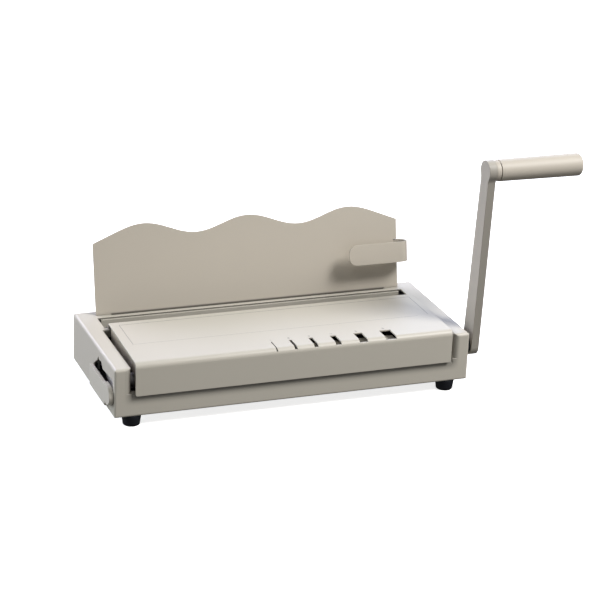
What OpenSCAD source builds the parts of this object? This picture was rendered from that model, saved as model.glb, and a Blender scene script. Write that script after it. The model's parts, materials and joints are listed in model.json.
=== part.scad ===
// Desk press for metal binding channels. Millimetres, +Z up.
// X runs along the document slot, Y from the front to the back, Z is zero on the desk.
// Every piece is drawn with X = 0 on the middle of the housing, Y = 0 on its front
// face, and at_origin() then moves all of them onto the middle of the whole part.

/* [Part] */
// Piece to draw, or all of them

/* [Housing] */
// Width of the housing
body_w = 380; // [300:1:460]
// Depth of the housing
body_d = 157; // [130:1:200]
// Height of the housing without its feet
body_h = 51.5; // [48:0.5:60]
// Thickness of the bent sheet pieces
sheet_t = 1.5; // [1:0.1:2]
// Bend radius along the top edges
top_r = 3; // [2.5:0.5:5]
// Radius of the upright corners and of the bottom edges
corner_r = 2; // [1.8:0.1:3]
// Width of the turned-in floor strips
return_w = 16; // [12:1:24]
// Width of the front columns beside the recess
column_w = 17.6; // [14:0.1:24]
// Height of the front strip below the recess
strip_h = 24.5; // [12:0.5:26]
// Flare radius of the recess front edges
flare_r = 6; // [3:0.5:7]
// Bend radius of the side edges of the recess
side_r = 2.2; // [1.8:0.1:3]
// Bend radius of the rear edge of the recess
lip_r = 2; // [1.8:0.1:3]
// Depth of the turned-in recess edges
turn_d = 8; // [6:0.5:10]

/* [Slots in the housing] */
// Distance from a side wall to the end of the document slot
slot_end = 20; // [15:0.5:30]
// Distance from the rear face to the rear edge of the document slot
slot_back = 21; // [18:0.5:26]
// Width of the document slot
slot_d = 27.3; // [20:0.1:32]
// Width of the strip between the recess and the document slot
lip_w = 6.2; // [5:0.1:8]
// Distance from a side wall to the end of the slit for the back plate
slit_end = 36.7; // [30:0.1:50]
// Gap in the slit in front of the back plate
slit_front = 2.1; // [1:0.1:2.5]
// Width of the slit for the back plate
slit_d = 3.9; // [3.6:0.1:5]
// Outline of the left wall opening, Y and height above the housing floor
side_hole = [[74.5, 29.9], [62.5, 37.5], [59.5, 42.5], [56.5, 40], [49, 41], [42.6, 35.2],
             [30, 36.2], [7, 37.2], [6, 30], [10, 24], [40, 18], [46.2, 3.4], [77.8, 3.4],
             [77.8, 22]];
// Radius of the shaft hole in the right wall
wall_hole_r = 8.3; // [7.8:0.1:8.6]

/* [Feet and base] */
// Height of the feet
foot_h = 12; // [8:0.5:18]
// Radius of a foot on the desk
foot_low_r = 8.5; // [7:0.1:10]
// Radius of a foot under the housing
foot_top_r = 10.2; // [8:0.1:12]
// Distance from the side wall to a foot centre
foot_x = 20.5; // [14:0.5:24]
// Distance from the front or rear face to a foot centre
foot_y = 10.5; // [10.5:0.5:14]
// Gap round the base plate
base_gap = 1; // [0.5:0.1:2]

/* [Top cover] */
// Gap at each side of the cover
cover_side_gap = 3.1; // [1:0.1:5]
// Overhang of the cover over the strip behind the recess
cover_over = 5.2; // [2:0.1:6]
// Narrowing of the cover left edge from the front to the rear
cover_taper = 2.8; // [0:0.1:4]
// Height of the cover above the housing top
cover_rise = 5.7; // [3:0.1:8]
// Distance of the front flange before the housing front
cover_proud = 2.5; // [1.8:0.1:2.6]
// Overlap of the front flange over the strip
cover_lap = 2.2; // [0:0.1:4]
// Radius of the front bend
cover_r = 6; // [3:0.5:7]
// Radius of the rear bend
cover_rear_r = 2; // [1.8:0.1:3]
// Radius of the lower corners of the front flange
cover_corner_r = 2.4; // [1:0.1:4]
// Gap under the rear flange
cover_rear_gap = 0.3; // [0.1:0.1:0.8]
// Left edges of the gauge slots, from the middle of the housing
gauge_xs = [-23, -3.5, 17.6, 40.7, 66.5, 95.1];
// Widths of the gauge slots
gauge_ws = [1.2, 2.7, 4.2, 6.1, 9, 12];
// Length of a gauge slot on the cover top
gauge_l = 17.4; // [10:0.1:24]
// Depth of a gauge slot on the cover front
gauge_drop = 3; // [2:0.1:5]
// Depth of the gauge stop below the cover top
stop_deep = 7.8; // [6:0.1:9]
// Reach of the gauge stop behind the cover front
stop_d = 22; // [18:0.5:26]
// Height of the gauge stop front leg
stop_leg = 10; // [8:0.5:14]
// Overlap of the gauge stop past the outer slots
stop_end = 4; // [3:0.5:6]
// Distance of the bracket web from the cover side edge
bracket_in = 4.8; // [4:0.1:10]
// Width of the bracket top leg
bracket_leg = 14; // [10:1:20]
// Front end of the brackets
bracket_y = 6; // [5:0.5:8]
// Depth of the bracket front tongue
bracket_tongue = 6.8; // [5:0.1:7]
// Distance from the rear edge of the recess to the rear end of the brackets
bracket_back = 4.5; // [3:0.5:10]

/* [Side frames] */
// Distance from a side wall to a frame inner face
frame_in = 12; // [11:0.5:14]
// Thickness of a side frame
frame_t = 3; // [2:0.5:4]
// Front edge of a side frame
frame_y = 7; // [3:0.5:9]
// Height of a side frame over the base plate
frame_h = 45; // [43:0.5:46]
// Front edge, rear edge and height of the left frame window
window_yz = [60, 95, 41];
// Width of the frame feet
frame_foot_w = 15; // [12:1:20]
// Front and rear ends of the front frame feet
frame_foot_front = [16, 38];
// Front and rear ends of the rear frame feet, from the frame rear edge
frame_foot_rear = [45, 15];
// Front and rear ends of the shelf that carries a bracket
shelf_ys = [33, 43];

/* [Shaft and cams] */
// Distance of the lever shaft from the front face
shaft_y = 21.5; // [20:0.1:24]
// Height of the lever shaft over the housing floor
shaft_z = 30; // [29:0.1:31]
// Radius of the lever shaft
shaft_r = 7.5; // [6:0.1:8]
// Running clearance on a radius
run_fit = 0.05; // [0.02:0.01:0.1]
// Wall of a shaft bush
bush_t = 3; // [2:0.5:4]
// Flange of a shaft bush
bush_flange = 2.5; // [2:0.5:4]
// Radius of the cam where the jaw is open
cam_r = 10.5; // [10:0.1:11]
// Travel of the moving jaw
jaw_travel = 14; // [10:0.5:14]
// Swing of the lever in degrees
lever_swing = 85; // [60:1:90]
// Thickness of a cam
cam_t = 12; // [8:0.5:16]
// Distance of a cam from the frame
cam_in = 58; // [50:1:80]
// Gap between pieces that move past each other
move_gap = 0.3; // [0.3:0.1:0.5]
// Width and radial height of a shaft ring
ring_size = [1.7, 3];

/* [Jaws] */
// Thickness of the push plate
push_t = 4; // [3:0.5:5]
// Height of the push plate underside over the housing floor
push_z = 32; // [31.5:0.1:32.5]
// Front edge of the push plate
push_y = 36; // [34:0.5:38]
// Distance from the slot front edge to the rear face of the open moving jaw
jaw_in = 8.3; // [7:0.1:9]
// Depth of the moving jaw
jaw_d = 12; // [10:0.5:12]
// Gap between a jaw end and a guide rail
jaw_end_gap = 1.5; // [1:0.1:4]
// Gap between the moving jaw and the sheet over it
jaw_top_gap = 1; // [0.5:0.1:2]
// Distance the fixed jaw stands in the document slot
nose_in = 2.5; // [1.5:0.1:3]
// Depth of the fixed jaw nose
nose_d = 5; // [4:0.5:6]
// Height of the fixed jaw foot
nose_foot_h = 8.5; // [6:0.5:12]
// Thickness of the spine ledge
ledge_t = 2; // [1.5:0.1:2.5]
// Distance from the open moving jaw to the front edge of the spine ledge
ledge_in = 9; // [7:0.5:11]
// Gap between the push plate and the spine ledge
ledge_gap = 0.5; // [0.3:0.1:1]
// Height of the rear flange of the spine ledge
ledge_drop = 13; // [10:0.5:13.5]
// Depth of the rear beam
beam_d = 8; // [6:0.5:8]
// Height of the rear beam
beam_h = 30; // [20:0.5:30]
// Width of a guide rail
rail_w = 10; // [8:0.5:12]
// Length of a guide rail
rail_l = 51; // [45:1:60]
// Distance from the rear end of a guide rail to the fixed jaw
rail_back_gap = 2.5; // [1.5:0.1:4]
// Depth of the groove in a guide rail
rail_groove = 4.3; // [4.2:0.1:5]
// Bottom and top of a guide rail over the housing floor
rail_zs = [28, 38.5];
// Size of a follower block along X and Y
follower_size = [16, 14];
// Height of a follower block
follower_h = 12.6; // [12:0.1:13]
// Width of a window in the push plate
push_window_w = 44; // [30:1:60]
// Distance of a window in the push plate from the middle
push_window_x = 58; // [40:1:80]

/* [Back plate] */
// Distance from a side wall to the end of the back plate
plate_end = 20.7; // [15:0.1:40]
// Distance from the rear face to the front of the back plate at its foot
plate_back = 13.5; // [12:0.1:16]
// Lean of the back plate in degrees
plate_lean = 11.5; // [0:0.5:25]
// Mean height of the waves in its top edge
wave_h = 85.6; // [60:0.1:120]
// Height of a wave over the mean
wave_a = 6.75; // [2:0.25:10]
// Length of a wave
wave_l = 114; // [100:1:120]
// Slope of the two ends of the top edge
wave_slope = 0.4; // [0.1:0.01:0.6]
// Depth of the tongue below the housing top
tongue_h = 19.5; // [16:0.5:19.5]
// Gap at each end of the tongue
tongue_gap = 0.5; // [0.3:0.1:1]

/* [Side clip] */
// Lower edge of the clip along the plate
clip_s = 30.5; // [20:0.5:40]
// Height of the clip strip
clip_h = 22; // [16:0.5:26]
// Thickness of the clip strip
clip_t = 1.5; // [1:0.1:2]
// Outer radius of the clip bend
clip_r = 11.3; // [9:0.1:14]
// Distance from the end of the back plate to the middle of the clip bend
clip_in = 3.6; // [2:0.1:8]
// Length of the clip front leg
clip_front_l = 59.2; // [40:0.1:80]
// Length of the clip rear leg
clip_rear_l = 41.7; // [30:0.1:55]
// Corner radius of the clip ends
clip_end_r = 9; // [4:0.5:10]
// Gap between the plate notch and the clip
clip_notch_gap = 0.5; // [0.3:0.1:1]

/* [Lever] */
// Gap between the housing wall and the arm
arm_gap = 8; // [5:0.5:12]
// Thickness of the arm
arm_t = 8.5; // [6:0.5:12]
// Length of the arm between its two axes
arm_l = 193.6; // [150:0.1:220]
// Forward lean of the arm in degrees
arm_lean = 3.7; // [0:0.1:8]
// Radius of the arm at the shaft
arm_low_r = 11; // [9:0.1:14]
// Half width of the arm below its head
arm_neck = 8.5; // [7:0.1:10]
// Radius of the arm head
arm_head_r = 11.2; // [9:0.1:14]
// Radius of the fillet under the arm head
arm_fillet_r = 12; // [6:0.5:20]
// Radius of the hub sleeve
hub_r = 9.2; // [8.8:0.1:11]
// Gap between the wall and the hub sleeve
hub_gap = 0.4; // [0.3:0.1:1]

/* [Grip] */
// Length of the inner collar
collar_l = 5.5; // [4:0.5:8]
// Radius of the inner collar
collar_r = 10.7; // [9:0.1:12]
// Length of the grip sleeve
grip_l = 87; // [70:0.5:110]
// Radius of the grip sleeve at the collar
grip_r = 11.2; // [10:0.1:14]
// Radius of the grip sleeve at the end cap
grip_end_r = 11.7; // [10:0.1:14]
// Length of the end cap
cap_l = 5; // [3:0.5:8]
// Edge radius of the end cap
cap_r = 3; // [1:0.5:4]
// Radius of the spindle in the grip
spindle_r = 4.5; // [3:0.1:6]

/* [Side drawer] */
// Front and rear edges of the pull tab
tab_ys = [22, 78];
// Bottom and top of the pull tab over the housing floor
tab_zs = [5.4, 27.5];
// Thickness of the pull tab
tab_t = 3.5; // [2:0.1:5]
// Gap between the wall and the pull tab
tab_gap = 0.4; // [0.3:0.1:1]
// Radius of the finger end of the tab
finger_r = 10; // [7:0.1:12]
// Distance of the middle of the finger end from the housing front
finger_y = 12.3; // [10:0.1:15]
// Height of the middle of the finger end over the housing floor
finger_z = 21; // [15:0.5:30]
// Thickness of the finger end
finger_t = 4.3; // [3:0.1:6]
// Front and rear faces of the tray
tray_ys = [47, 77];
// Bottom and top of the tray over the housing floor
tray_zs = [4.3, 17];
// Length of the tray
tray_l = 130; // [90:1:150]
// Wall of the tray
tray_t = 1.5; // [1:0.1:2.5]
// Thickness of the drawer runner
runner_t = 1; // [0.8:0.1:1]
// Height of the runner sides
runner_h = 5; // [4:0.5:5]
// Gap between the runner sides and the tray
runner_gap = 0.4; // [0.3:0.1:1]

/* [Fasteners] */
// Small screw: shank radius, head radius, head height
screw_small = [1.8, 3.5, 2];
// Medium screw: shank radius, head radius, head height
screw_medium = [2.2, 4, 2.5];
// Lever screw: shank radius, head radius, head height
screw_lever = [3, 5.5, 2];
// Socket radius as a share of the head radius
socket_share = 0.5; // [0.3:0.05:0.7]
// Socket depth as a share of the head height
socket_deep_share = 0.6; // [0.3:0.05:0.8]
// Rivet: shank radius, head radius, head height
rivet = [1.6, 3, 1];
// Places of the jaw and rear screws as shares of half the jaw width
screw_share_row = [-0.9, -0.45, 0, 0.45, 0.9];

/* [Hidden] */
$fn = 72;
over = 1;
half_w = body_w / 2;
floor_z = foot_h;
top_z = foot_h + body_h;
under_z = top_z - sheet_t;
strip_z = floor_z + strip_h;
recess_x = half_w - column_w;
slot_w = body_w - 2 * slot_end;
slot_y = body_d - slot_back - slot_d;
slit_w = body_w - 2 * slit_end;
recess_d = slot_y - lip_w;
base_z = floor_z + sheet_t;
deck_z = base_z + sheet_t;
cover_top_z = top_z + cover_rise;
cover_under_z = cover_top_z - sheet_t;
cover_low_z = strip_z - cover_lap;
cover_w = 2 * (recess_x - cover_side_gap);
cover_d = recess_d + cover_over + cover_proud;
plate_t = sheet_t;
plate_y = body_d - plate_back;
plate_w = body_w - 2 * plate_end;
beam_y = plate_y + plate_t;
frame_x = half_w - frame_in;
frame_out = frame_x + frame_t;
frame_end_y = beam_y + beam_d;
frame_top_z = deck_z + frame_h;
frame_foot_ys = [frame_foot_front, [frame_end_y - frame_foot_rear[0],
                                    frame_end_y - frame_foot_rear[1]]];
axis_z = floor_z + shaft_z;
bush_r = shaft_r + run_fit + bush_t;
push_low_z = floor_z + push_z;
push_top_z = push_low_z + push_t;
jaw_top_z = under_z - jaw_top_gap;
jaw_face_y = slot_y + jaw_in;
jaw_x = frame_x - rail_w - jaw_end_gap;
nose_y = slot_y + slot_d - nose_in;
nose_end_y = plate_y;
ledge_y = jaw_face_y - ledge_in;
ledge_top_z = push_low_z - ledge_gap;
rail_back = rail_w - rail_groove;
rail_t = rail_back / 2;
rail_ys = [nose_y - rail_back_gap - rail_l, nose_y - rail_back_gap];
push_x = frame_x - rail_back - move_gap;
push_window_l = (jaw_face_y - jaw_d - push_y) / 2;
push_window_y = push_y + push_window_l;
rear_screw_z = push_low_z + nose_foot_h / 2;
bracket_x = cover_w / 2 - bracket_in;
bracket_end_y = recess_d - bracket_back;
bracket_z = floor_z + rail_zs[1];
cam_x = frame_x - cam_in;
cam_hub_h = cam_r - over / 2;
follower_y = shaft_y + cam_r + move_gap;
cam_step = jaw_travel / (lever_swing * PI / 180);
arm_in = half_w + arm_gap;
arm_out = arm_in + arm_t;
arm_web = arm_out - screw_lever[2];
shaft_end = arm_web - sheet_t;
grip_y = shaft_y - arm_l * sin(arm_lean);
grip_z = axis_z + arm_l * cos(arm_lean);
grip_x = arm_out + collar_l + move_gap;
cap_x = grip_x + grip_l;
washer_r = spindle_r + screw_small[0];
shoulder_x = cap_x - washer_r;
plate_top_y = plate_y + (wave_h + wave_a) * sin(plate_lean) + plate_t * cos(plate_lean);
tab_x = half_w + tab_gap;
tray_x = tray_l - tab_x;
runner_in = [tray_ys[0] - runner_gap, tray_ys[1] + runner_gap];
runner_xs = [over - frame_out, tray_x + over];
far_x = cap_x + cap_l;
mid_x = (far_x - tab_x - finger_t) / 2;
mid_y = (plate_top_y + grip_y - grip_end_r) / 2;
gauge_last = len(gauge_xs) - 1;

clip_x = plate_w / 2 - clip_in;
clip_front_x = clip_x - clip_front_l;
clip_rear_x = clip_x - clip_rear_l;

// Top edge of the back plate: waves in the middle, then a straight slope to each side.
wave_end = wave_l * 1.25;
wave_side = plate_w / 2;
wave_n = 60;
function wave_top(x) = abs(x) > wave_end
  ? wave_h - (abs(x) - wave_end) * wave_slope
  : wave_h + wave_a * cos(360 * x / wave_l);
wave_points = concat(
  [[wave_side, 0], [wave_side, wave_top(wave_side)]],
  [for (i = [0:wave_n]) let (x = wave_end - 2 * wave_end * i / wave_n)
    if (abs(x) < wave_side) [x, wave_top(x)]],
  [[-wave_side, wave_top(wave_side)], [-wave_side, 0]]);

// Cam outline in Y and Z: its distance to a flat face behind it grows evenly with the turn.
cam_n = 34;
cam_points = concat([[cam_r, 0]],
  [for (i = [0:cam_n]) let (a = -lever_swing * i / cam_n, h = cam_r + jaw_travel * i / cam_n)
    [h * cos(a) + cam_step * sin(a), h * sin(a) - cam_step * cos(a)]],
  [for (i = [0:cam_n - 1]) let (a = 180 * (1 - i / cam_n)) [cam_r * cos(a), cam_r * sin(a)]]);

// Colours of the materials
paint_c = [0.80, 0.77, 0.70];
plate_c = [0.72, 0.66, 0.58];
frame_c = [0.45, 0.45, 0.46];
steel_c = [0.66, 0.67, 0.69];
dark_c = [0.30, 0.30, 0.31];
brass_c = [0.70, 0.58, 0.34];
grip_c = [0.78, 0.72, 0.62];
rubber_c = [0.07, 0.08, 0.10];
zinc_c = [0.74, 0.74, 0.72];

// Moves a piece from the housing position to the middle of the whole part.
module at_origin() { translate([-mid_x, -mid_y, 0]) children(); }

// Draws a piece and its mirror image on the other side of the middle plane.
module both_sides() {
  children();
  mirror([1, 0, 0]) children();
}

// Box given by its two corners.
module block(a, b) { translate(a) cube(b - a); }

// Round bar along X between two places, on the axis at y, z.
module bar_x(x1, x2, y, z, r) {
  translate([x1, y, z]) rotate([0, 90, 0]) cylinder(h = x2 - x1, r = r);
}

// Flat outline in Y and Z drawn out along X.
module along_x(x1, x2) {
  translate([x1, 0, 0]) rotate([90, 0, 90]) linear_extrude(height = x2 - x1) children();
}

// Flat outline in X and Z drawn out along Y.
module along_y(y1, y2) {
  translate([0, y2, 0]) rotate([90, 0, 0]) linear_extrude(height = y2 - y1) children();
}

// Rectangle with one radius for its lower corners and one for its upper corners.
module round_rect(a, b, low, high) {
  mid = (a[1] + b[1]) / 2;
  translate([a[0] + low, a[1]]) square([b[0] - a[0] - 2 * low, mid - a[1]]);
  translate([a[0], a[1] + low]) square([b[0] - a[0], mid - a[1] - low]);
  translate([a[0] + high, mid]) square([b[0] - a[0] - 2 * high, b[1] - mid]);
  translate([a[0], mid]) square([b[0] - a[0], b[1] - mid - high]);
  for (x = [a[0] + low, b[0] - low]) translate([x, a[1] + low]) circle(r = low);
  for (x = [a[0] + high, b[0] - high]) translate([x, b[1] - high]) circle(r = high);
}

// Screw with its head above zero and its shank going down.
module screw(size, length) {
  difference() {
    cylinder(h = size[2], r = size[1]);
    translate([0, 0, size[2] * (1 - socket_deep_share)])
      cylinder(h = size[2], r = size[1] * socket_share, $fn = 6);
  }
  translate([0, 0, -length]) cylinder(h = length, r = size[0]);
}

// Solid of the housing, made smaller by an inset on every face.
module housing_solid(inset) {
  far = half_w + over;
  intersection() {
    along_x(-far, far)
      round_rect([inset, floor_z + inset], [body_d - inset, top_z - inset],
                 corner_r - inset, top_r - inset);
    along_y(-over, body_d + over)
      round_rect([inset - half_w, floor_z + inset], [half_w - inset, top_z - inset],
                 corner_r - inset, top_r - inset);
    linear_extrude(height = top_z + over)
      round_rect([inset - half_w, inset], [half_w - inset, body_d - inset],
                 corner_r - inset, corner_r - inset);
  }
}

// Outline of the recess across X, with its flared mouth at zero and its depth below.
module flare_outline(grow, deep, r) {
  side = recess_x + grow;
  mouth = recess_x + r;
  translate([-side, -deep]) square([2 * side, deep + over]);
  difference() {
    translate([-mouth, -r]) square([2 * mouth, r + over]);
    for (x = [-mouth, mouth]) translate([x, -r]) circle(r = r - grow);
  }
}

// Space of the recess, grown by a margin.
module recess_space(grow) {
  side = recess_x + grow;
  low_z = strip_z - grow;
  end_y = recess_d + grow;
  translate([0, 0, top_z]) along_y(-over, end_y) flare_outline(grow, top_z - low_z, side_r);
  translate([0, 0, low_z]) mirror([0, 1, 0]) linear_extrude(height = top_z - low_z + over)
    flare_outline(grow, end_y, flare_r);
  along_x(-side, side) difference() {
    translate([-over, strip_z - flare_r]) square([flare_r + over, top_z - strip_z]);
    translate([flare_r, strip_z - flare_r]) circle(r = flare_r - grow);
  }
  along_x(-side, side) difference() {
    translate([recess_d, top_z - lip_r]) square([lip_r, lip_r + over]);
    translate([recess_d + lip_r, top_z - lip_r]) circle(r = lip_r - grow);
  }
}

// Openings of the housing other than the recess.
module housing_openings() {
  block([-slot_w / 2, slot_y, under_z - over], [slot_w / 2, slot_y + slot_d, top_z + over]);
  slit_y = plate_y - slit_front;
  block([-slit_w / 2, slit_y, under_z - over], [slit_w / 2, slit_y + slit_d, top_z + over]);
  block([return_w - half_w, return_w, floor_z - over],
        [half_w - return_w, body_d - return_w, base_z + over]);
  along_x(-half_w - over, -half_w + sheet_t + over) translate([0, floor_z])
    polygon(side_hole);
  bar_x(half_w - sheet_t - over, half_w + over, shaft_y, axis_z, wall_hole_r);
  at_feet() cylinder(h = base_z, r = screw_medium[0]);
}

module at_feet() {
  for (x = [foot_x - half_w, half_w - foot_x], y = [foot_y, body_d - foot_y])
    translate([x, y, 0]) children();
}

module housing() at_origin() color(paint_c) {
  difference() {
    housing_solid(0);
    housing_solid(sheet_t);
    recess_space(0);
    housing_openings();
  }
  intersection() {
    difference() {
      recess_space(sheet_t);
      recess_space(0);
    }
    housing_solid(0);
    union() {
      block([-half_w, 0, top_z - turn_d], [half_w, body_d, top_z]);
      block([-half_w, 0, floor_z], [half_w, turn_d, top_z]);
    }
  }
}

module base_plate() at_origin() color(frame_c) difference() {
  edge = sheet_t + base_gap;
  block([edge - half_w, edge, base_z], [half_w - edge, body_d - edge, deck_z]);
  at_feet() cylinder(h = top_z, r = screw_medium[0]);
  at_frame_feet() translate([0, 0, -top_z]) cylinder(h = top_z, r = screw_small[0]);
  at_runner_screws() translate([0, 0, -top_z]) cylinder(h = top_z, r = screw_small[0]);
}

module feet() at_origin() color(rubber_c) at_feet() difference() {
  cylinder(h = foot_h, r1 = foot_low_r, r2 = foot_top_r);
  cylinder(h = foot_h, r = screw_medium[0]);
  cylinder(h = foot_h / 2, r = screw_medium[1]);
}

// Screws that hold a foot, the floor strip and the base plate together.
module foot_screws() at_origin() color(zinc_c) at_feet()
  translate([0, 0, foot_h / 2]) mirror([0, 0, 1])
    screw(screw_medium, deck_z + sheet_t - foot_h / 2);

// Outline of the bent cover sheet across X, made smaller by an inset.
module cover_outline(inset) {
  high = cover_top_z - cover_low_z;
  translate([inset, cover_low_z]) square([cover_d - 2 * inset, high - cover_r]);
  translate([cover_r, cover_low_z])
    square([cover_d - cover_r - inset, high - cover_rear_r]);
  translate([cover_r, cover_low_z])
    square([cover_d - cover_r - cover_rear_r, high - inset]);
  translate([cover_r, cover_top_z - cover_r]) circle(r = cover_r - inset);
  translate([cover_d - cover_rear_r, cover_top_z - cover_rear_r])
    circle(r = cover_rear_r - inset);
}

module top_cover() at_origin() color(paint_c) translate([0, -cover_proud, 0]) difference() {
  side = cover_w / 2;
  along_x(-side, side) difference() {
    cover_outline(0);
    cover_outline(sheet_t);
  }
  block([-side - over, cover_d / 2, 0], [side + over, cover_d + over, top_z + cover_rear_gap]);
  translate([-side, 0, 0]) linear_extrude(height = cover_top_z + over)
    polygon([[-over, 0], [0, 0], [cover_taper, cover_d + over], [-over, cover_d + over]]);
  both_sides() translate([side - cover_corner_r, 0, cover_low_z + cover_corner_r])
    along_y(-over, sheet_t + over) difference() {
      translate([0, -cover_corner_r - over]) square(cover_corner_r + over);
      circle(r = cover_corner_r);
    }
  for (i = [0:gauge_last]) translate([gauge_xs[i], 0, cover_top_z])
    block([0, -over, -gauge_drop], [gauge_ws[i], gauge_l + cover_proud, over]);
}

// Angle under the gauge slots that stops the edges of the sheets.
module gauge_stop() at_origin() color(paint_c) {
  near = gauge_xs[0] - stop_end;
  far = gauge_xs[gauge_last] + gauge_ws[gauge_last] + stop_end;
  high = cover_top_z - stop_deep;
  front = sheet_t - cover_proud;
  block([near, front, high - sheet_t], [far, front + stop_d, high]);
  block([near, front, high - stop_leg], [far, front + sheet_t, high]);
}

// Places of the studs under the cover.
module at_studs() {
  both_sides() for (y = [bracket_y + bracket_leg / 2, bracket_end_y - bracket_leg / 2])
    translate([bracket_x - bracket_leg / 2, y, cover_under_z]) children();
}

// Welded studs under the cover with their nuts.
module cover_studs() at_origin() color(zinc_c) at_studs() mirror([0, 0, 1]) {
  cylinder(h = screw_small[2] * 3, r = screw_small[0]);
  difference() {
    translate([0, 0, sheet_t]) cylinder(h = screw_small[2], r = screw_small[1], $fn = 6);
    cylinder(h = screw_small[2] * 3, r = screw_small[0]);
  }
}

module bracket() difference() {
  union() {
    block([bracket_x, bracket_y, bracket_z], [bracket_x + sheet_t, bracket_end_y, cover_under_z]);
    block([bracket_x, bracket_y, strip_z + sheet_t],
          [bracket_x + sheet_t, bracket_y + bracket_tongue, bracket_z]);
    block([bracket_x - bracket_leg, bracket_y, cover_under_z - sheet_t],
          [bracket_x, bracket_end_y, cover_under_z]);
    block([bracket_x, shelf_ys[0], bracket_z], [frame_x, shelf_ys[1], bracket_z + sheet_t]);
    block([bracket_x, rail_ys[0], bracket_z], [frame_x, bracket_end_y, bracket_z + sheet_t]);
  }
  at_studs() mirror([0, 0, 1]) cylinder(h = screw_small[2], r = screw_small[0]);
  at_bracket_feet() mirror([0, 0, 1]) cylinder(h = screw_small[2], r = screw_small[0]);
}

// Places of the screws in the bracket feet, on top of the sheet.
module at_bracket_feet() {
  both_sides() {
    translate([frame_x - 2 * screw_small[1], (shelf_ys[0] + shelf_ys[1]) / 2,
               bracket_z + sheet_t]) children();
    translate([frame_x - screw_small[1] - run_fit, (rail_ys[0] + bracket_end_y) / 2,
               bracket_z + sheet_t]) children();
  }
}

module cover_bracket_left() at_origin() color(paint_c) mirror([1, 0, 0]) bracket();
module cover_bracket_right() at_origin() color(paint_c) bracket();

module bracket_screws() at_origin() color(zinc_c) at_bracket_feet()
  screw(screw_small, 2 * sheet_t);

// Places of the screws in the frame feet, on top of the feet.
module at_frame_feet() {
  both_sides() for (ys = frame_foot_ys, share = [1 / 4, 3 / 4])
    translate([frame_x - frame_foot_w / 2, ys[0] + (ys[1] - ys[0]) * share, deck_z + sheet_t])
      children();
}

// Places on the outer faces of the frames for the screws of the rails and of the beam.
module at_rail_screws() {
  both_sides() for (share = [1 / 4, 3 / 4])
    translate([frame_out, rail_ys[0] + (rail_ys[1] - rail_ys[0]) * share,
               floor_z + (rail_zs[0] + rail_zs[1]) / 2]) rotate([0, 90, 0]) children();
}

module at_beam_screws() {
  both_sides() for (share = [1 / 4, 3 / 4])
    translate([frame_out, beam_y + beam_d / 2, frame_top_z - beam_h * share])
      rotate([0, 90, 0]) children();
}

module frame_side() difference() {
  union() {
    block([frame_x, frame_y, deck_z], [frame_out, frame_end_y, frame_top_z]);
    for (ys = frame_foot_ys)
      block([frame_x - frame_foot_w, ys[0], deck_z], [frame_x, ys[1], deck_z + sheet_t]);
    block([frame_x - frame_foot_w, shelf_ys[0], bracket_z - sheet_t],
          [frame_x, shelf_ys[1], bracket_z]);
  }
  bar_x(frame_x - over, frame_out + over, shaft_y, axis_z, bush_r);
  at_frame_feet() translate([0, 0, -screw_small[2]])
    cylinder(h = screw_small[2] + over, r = screw_small[0]);
  at_bracket_feet() mirror([0, 0, 1]) cylinder(h = 2 * sheet_t + over, r = screw_small[0]);
  at_rail_screws() translate([0, 0, -frame_t - over])
    cylinder(h = frame_t + 2 * over, r = screw_small[0]);
  at_beam_screws() translate([0, 0, -frame_t - over])
    cylinder(h = frame_t + 2 * over, r = screw_medium[0]);
}

module side_frame_left() at_origin() color(frame_c) difference() {
  mirror([1, 0, 0]) frame_side();
  block([-frame_out - over, window_yz[0], deck_z + runner_h + over],
        [over - frame_x, window_yz[1], deck_z + window_yz[2]]);
  block([-frame_out - over, tray_ys[0] - runner_gap - runner_t - over, deck_z - over],
        [over - frame_x, tray_ys[1] + runner_gap + runner_t + over, floor_z + tray_zs[1] + over]);
}

module side_frame_right() at_origin() color(frame_c) frame_side();

module frame_screws() at_origin() color(zinc_c) at_frame_feet() screw(screw_small, 2 * sheet_t);

module shaft_bushes() at_origin() color(brass_c) both_sides() difference() {
  union() {
    bar_x(frame_x, frame_out, shaft_y, axis_z, bush_r);
    bar_x(frame_x - bush_t, frame_x, shaft_y, axis_z, bush_r + bush_flange);
  }
  bar_x(frame_x - bush_t - over, frame_out + over, shaft_y, axis_z, shaft_r + run_fit);
}

// Places of the five screws through fixed jaw, tongue and beam, on the head seat.
module at_rear_screws() {
  for (share = screw_share_row)
    translate([share * jaw_x, nose_y + screw_small[2] * 3 / 2, rear_screw_z])
      rotate([90, 0, 0]) children();
}

module at_ledge_screws() {
  for (share = screw_share_row)
    translate([share * jaw_x, beam_y - ledge_t, ledge_top_z - ledge_drop / 2])
      rotate([90, 0, 0]) children();
}

module rear_beam() at_origin() color(steel_c) difference() {
  block([-frame_x, beam_y, frame_top_z - beam_h], [frame_x, beam_y + beam_d, frame_top_z]);
  at_rear_screws() translate([0, 0, -body_d]) cylinder(h = body_d, r = screw_small[0]);
  at_ledge_screws() translate([0, 0, -body_d]) cylinder(h = body_d, r = screw_small[0]);
  at_beam_screws() translate([0, 0, -3 * beam_d])
    cylinder(h = 3 * beam_d, r = screw_medium[0]);
}

module beam_screws() at_origin() color(zinc_c) at_beam_screws()
  screw(screw_medium, 3 * beam_d);

module fixed_jaw() at_origin() color(paint_c) difference() {
  union() {
    block([-jaw_x, nose_y, ledge_top_z], [jaw_x, nose_y + nose_d, under_z]);
    block([-jaw_x, nose_y, ledge_top_z], [jaw_x, nose_end_y, push_low_z + nose_foot_h]);
  }
  at_rear_screws() {
    cylinder(h = body_d, r = screw_small[1] + run_fit);
    translate([0, 0, -body_d]) cylinder(h = body_d, r = screw_small[0]);
  }
}

module rear_screws() at_origin() color(zinc_c) at_rear_screws()
  screw(screw_small, beam_y + beam_d - nose_y - screw_small[2] * 3 / 2);

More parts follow.
